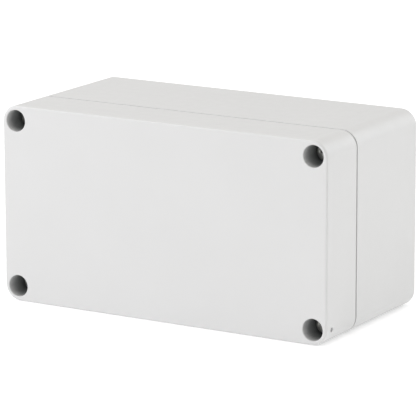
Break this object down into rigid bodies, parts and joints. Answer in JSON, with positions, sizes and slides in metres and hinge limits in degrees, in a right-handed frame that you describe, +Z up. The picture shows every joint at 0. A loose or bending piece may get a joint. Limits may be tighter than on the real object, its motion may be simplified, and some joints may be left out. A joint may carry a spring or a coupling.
{
  "type": "electrical junction box",
  "caption": "Rectangular wall-mounted junction box with a deep screwed lid, recessed corner screws, a seal, and a rail of screw terminals inside.",
  "frame": {"origin": "centre of the flat back face, which goes against the wall", "axes": "+X to the right along the box's long side as seen from the front, +Y out of the back face into the wall, so the lid faces -Y, and +Z up"},
  "size_m": [0.12, 0.06, 0.065],
  "materials": {
    "housing_grey": "light grey moulded plastic with a very fine, even satin texture",
    "seal_black": "matt black sealing rubber",
    "screw_steel": "bright steel with turned heads",
    "brass": "plain machined brass with a knurled outside",
    "rail_zinc": "rolled steel strip, zinc plated and passivated",
    "terminal_grey": "mid grey moulded polyamide",
    "terminal_blue": "blue moulded polyamide",
    "terminal_green": "green moulded polyamide with yellow stripes",
    "tinned_copper": "tinned copper strip",
    "yoke_steel": "zinc-plated pressed steel"
  },
  "bodies": {
    "base": {"base_shell": "housing_grey", "thread_insert_top_left": "brass", "thread_insert_top_right": "brass", "thread_insert_bottom_left": "brass", "thread_insert_bottom_right": "brass", "terminal_rail": "rail_zinc", "rail_screw_left": "screw_steel", "rail_screw_right": "screw_steel", "end_stop_left": "terminal_grey", "terminal_line_1": "terminal_grey", "terminal_line_2": "terminal_grey", "terminal_line_3": "terminal_grey", "terminal_neutral": "terminal_blue", "terminal_earth": "terminal_green", "current_bar_line_1": "tinned_copper", "current_bar_line_2": "tinned_copper", "current_bar_line_3": "tinned_copper", "current_bar_neutral": "tinned_copper", "current_bar_earth": "tinned_copper", "terminal_end_plate": "terminal_grey", "end_stop_right": "terminal_grey"},
    "lid": {"lid_cover": "housing_grey", "lid_gasket": "seal_black"},
    "lid_washer_top_left": {"lid_washer_top_left": "seal_black"},
    "lid_screw_top_left": {"lid_screw_top_left": "screw_steel"},
    "lid_washer_top_right": {"lid_washer_top_right": "seal_black"},
    "lid_screw_top_right": {"lid_screw_top_right": "screw_steel"},
    "lid_washer_bottom_left": {"lid_washer_bottom_left": "seal_black"},
    "lid_screw_bottom_left": {"lid_screw_bottom_left": "screw_steel"},
    "lid_washer_bottom_right": {"lid_washer_bottom_right": "seal_black"},
    "lid_screw_bottom_right": {"lid_screw_bottom_right": "screw_steel"},
    "clamp_screw_line_1_upper": {"clamp_screw_line_1_upper": "screw_steel"},
    "clamp_yoke_line_1_upper": {"clamp_yoke_line_1_upper": "yoke_steel"},
    "clamp_screw_line_1_lower": {"clamp_screw_line_1_lower": "screw_steel"},
    "clamp_yoke_line_1_lower": {"clamp_yoke_line_1_lower": "yoke_steel"},
    "clamp_screw_line_2_upper": {"clamp_screw_line_2_upper": "screw_steel"},
    "clamp_yoke_line_2_upper": {"clamp_yoke_line_2_upper": "yoke_steel"},
    "clamp_screw_line_2_lower": {"clamp_screw_line_2_lower": "screw_steel"},
    "clamp_yoke_line_2_lower": {"clamp_yoke_line_2_lower": "yoke_steel"},
    "clamp_screw_line_3_upper": {"clamp_screw_line_3_upper": "screw_steel"},
    "clamp_yoke_line_3_upper": {"clamp_yoke_line_3_upper": "yoke_steel"},
    "clamp_screw_line_3_lower": {"clamp_screw_line_3_lower": "screw_steel"},
    "clamp_yoke_line_3_lower": {"clamp_yoke_line_3_lower": "yoke_steel"},
    "clamp_screw_neutral_upper": {"clamp_screw_neutral_upper": "screw_steel"},
    "clamp_yoke_neutral_upper": {"clamp_yoke_neutral_upper": "yoke_steel"},
    "clamp_screw_neutral_lower": {"clamp_screw_neutral_lower": "screw_steel"},
    "clamp_yoke_neutral_lower": {"clamp_yoke_neutral_lower": "yoke_steel"},
    "clamp_screw_earth_upper": {"clamp_screw_earth_upper": "screw_steel"},
    "clamp_yoke_earth_upper": {"clamp_yoke_earth_upper": "yoke_steel"},
    "clamp_screw_earth_lower": {"clamp_screw_earth_lower": "screw_steel"},
    "clamp_yoke_earth_lower": {"clamp_yoke_earth_lower": "yoke_steel"}
  },
  "joints": [
    {"name": "lid_lift", "type": "slide", "parent": "base", "child": "lid", "axis": [0, -1, 0], "range_m": [0, 0.06]},
    {"name": "lid_screw_top_left_travel", "type": "slide", "parent": "lid", "child": "lid_washer_top_left", "axis": [0, -1, 0], "range_m": [0, 0.00735]},
    {"name": "lid_screw_top_left_turn", "type": "hinge", "parent": "lid_washer_top_left", "child": "lid_screw_top_left", "pos_m": [-0.055, -0.049, 0.0275], "axis": [0, -1, 0], "range_deg": [0, 3781]},
    {"name": "lid_screw_top_right_travel", "type": "slide", "parent": "lid", "child": "lid_washer_top_right", "axis": [0, -1, 0], "range_m": [0, 0.00735]},
    {"name": "lid_screw_top_right_turn", "type": "hinge", "parent": "lid_washer_top_right", "child": "lid_screw_top_right", "pos_m": [0.055, -0.049, 0.0275], "axis": [0, -1, 0], "range_deg": [0, 3781]},
    {"name": "lid_screw_bottom_left_travel", "type": "slide", "parent": "lid", "child": "lid_washer_bottom_left", "axis": [0, -1, 0], "range_m": [0, 0.00735]},
    {"name": "lid_screw_bottom_left_turn", "type": "hinge", "parent": "lid_washer_bottom_left", "child": "lid_screw_bottom_left", "pos_m": [-0.055, -0.049, -0.0275], "axis": [0, -1, 0], "range_deg": [0, 3781]},
    {"name": "lid_screw_bottom_right_travel", "type": "slide", "parent": "lid", "child": "lid_washer_bottom_right", "axis": [0, -1, 0], "range_m": [0, 0.00735]},
    {"name": "lid_screw_bottom_right_turn", "type": "hinge", "parent": "lid_washer_bottom_right", "child": "lid_screw_bottom_right", "pos_m": [0.055, -0.049, -0.0275], "axis": [0, -1, 0], "range_deg": [0, 3781]},
    {"name": "clamp_screw_line_1_upper_turn", "type": "hinge", "parent": "base", "child": "clamp_screw_line_1_upper", "pos_m": [-0.0128, -0.03, 0.0085], "axis": [0, 1, 0], "range_deg": [0, 1981]},
    {"name": "clamp_yoke_line_1_upper_rise", "type": "slide", "parent": "base", "child": "clamp_yoke_line_1_upper", "axis": [0, -1, 0], "range_m": [0, 0.00275]},
    {"name": "clamp_screw_line_1_lower_turn", "type": "hinge", "parent": "base", "child": "clamp_screw_line_1_lower", "pos_m": [-0.0128, -0.03, -0.0085], "axis": [0, 1, 0], "range_deg": [0, 1981]},
    {"name": "clamp_yoke_line_1_lower_rise", "type": "slide", "parent": "base", "child": "clamp_yoke_line_1_lower", "axis": [0, -1, 0], "range_m": [0, 0.00275]},
    {"name": "clamp_screw_line_2_upper_turn", "type": "hinge", "parent": "base", "child": "clamp_screw_line_2_upper", "pos_m": [-0.0066, -0.03, 0.0085], "axis": [0, 1, 0], "range_deg": [0, 1981]},
    {"name": "clamp_yoke_line_2_upper_rise", "type": "slide", "parent": "base", "child": "clamp_yoke_line_2_upper", "axis": [0, -1, 0], "range_m": [0, 0.00275]},
    {"name": "clamp_screw_line_2_lower_turn", "type": "hinge", "parent": "base", "child": "clamp_screw_line_2_lower", "pos_m": [-0.0066, -0.03, -0.0085], "axis": [0, 1, 0], "range_deg": [0, 1981]},
    {"name": "clamp_yoke_line_2_lower_rise", "type": "slide", "parent": "base", "child": "clamp_yoke_line_2_lower", "axis": [0, -1, 0], "range_m": [0, 0.00275]},
    {"name": "clamp_screw_line_3_upper_turn", "type": "hinge", "parent": "base", "child": "clamp_screw_line_3_upper", "pos_m": [-0.0004, -0.03, 0.0085], "axis": [0, 1, 0], "range_deg": [0, 1981]},
    {"name": "clamp_yoke_line_3_upper_rise", "type": "slide", "parent": "base", "child": "clamp_yoke_line_3_upper", "axis": [0, -1, 0], "range_m": [0, 0.00275]},
    {"name": "clamp_screw_line_3_lower_turn", "type": "hinge", "parent": "base", "child": "clamp_screw_line_3_lower", "pos_m": [-0.0004, -0.03, -0.0085], "axis": [0, 1, 0], "range_deg": [0, 1981]},
    {"name": "clamp_yoke_line_3_lower_rise", "type": "slide", "parent": "base", "child": "clamp_yoke_line_3_lower", "axis": [0, -1, 0], "range_m": [0, 0.00275]},
    {"name": "clamp_screw_neutral_upper_turn", "type": "hinge", "parent": "base", "child": "clamp_screw_neutral_upper", "pos_m": [0.0058, -0.03, 0.0085], "axis": [0, 1, 0], "range_deg": [0, 1981]},
    {"name": "clamp_yoke_neutral_upper_rise", "type": "slide", "parent": "base", "child": "clamp_yoke_neutral_upper", "axis": [0, -1, 0], "range_m": [0, 0.00275]},
    {"name": "clamp_screw_neutral_lower_turn", "type": "hinge", "parent": "base", "child": "clamp_screw_neutral_lower", "pos_m": [0.0058, -0.03, -0.0085], "axis": [0, 1, 0], "range_deg": [0, 1981]},
    {"name": "clamp_yoke_neutral_lower_rise", "type": "slide", "parent": "base", "child": "clamp_yoke_neutral_lower", "axis": [0, -1, 0], "range_m": [0, 0.00275]},
    {"name": "clamp_screw_earth_upper_turn", "type": "hinge", "parent": "base", "child": "clamp_screw_earth_upper", "pos_m": [0.012, -0.03, 0.0085], "axis": [0, 1, 0], "range_deg": [0, 1981]},
    {"name": "clamp_yoke_earth_upper_rise", "type": "slide", "parent": "base", "child": "clamp_yoke_earth_upper", "axis": [0, -1, 0], "range_m": [0, 0.00275]},
    {"name": "clamp_screw_earth_lower_turn", "type": "hinge", "parent": "base", "child": "clamp_screw_earth_lower", "pos_m": [0.012, -0.03, -0.0085], "axis": [0, 1, 0], "range_deg": [0, 1981]},
    {"name": "clamp_yoke_earth_lower_rise", "type": "slide", "parent": "base", "child": "clamp_yoke_earth_lower", "axis": [0, -1, 0], "range_m": [0, 0.00275]}
  ],
  "couplings": [
    {"joint": "lid_screw_top_left_turn", "follows": "lid_screw_top_left_travel", "rad_per_m": 8976},
    {"joint": "lid_screw_top_right_turn", "follows": "lid_screw_top_right_travel", "rad_per_m": 8976},
    {"joint": "lid_screw_bottom_left_turn", "follows": "lid_screw_bottom_left_travel", "rad_per_m": 8976},
    {"joint": "lid_screw_bottom_right_turn", "follows": "lid_screw_bottom_right_travel", "rad_per_m": 8976},
    {"joint": "clamp_screw_line_1_upper_turn", "follows": "clamp_yoke_line_1_upper_rise", "rad_per_m": 12566},
    {"joint": "clamp_screw_line_1_lower_turn", "follows": "clamp_yoke_line_1_lower_rise", "rad_per_m": 12566},
    {"joint": "clamp_screw_line_2_upper_turn", "follows": "clamp_yoke_line_2_upper_rise", "rad_per_m": 12566},
    {"joint": "clamp_screw_line_2_lower_turn", "follows": "clamp_yoke_line_2_lower_rise", "rad_per_m": 12566},
    {"joint": "clamp_screw_line_3_upper_turn", "follows": "clamp_yoke_line_3_upper_rise", "rad_per_m": 12566},
    {"joint": "clamp_screw_line_3_lower_turn", "follows": "clamp_yoke_line_3_lower_rise", "rad_per_m": 12566},
    {"joint": "clamp_screw_neutral_upper_turn", "follows": "clamp_yoke_neutral_upper_rise", "rad_per_m": 12566},
    {"joint": "clamp_screw_neutral_lower_turn", "follows": "clamp_yoke_neutral_lower_rise", "rad_per_m": 12566},
    {"joint": "clamp_screw_earth_upper_turn", "follows": "clamp_yoke_earth_upper_rise", "rad_per_m": 12566},
    {"joint": "clamp_screw_earth_lower_turn", "follows": "clamp_yoke_earth_lower_rise", "rad_per_m": 12566}
  ]
}
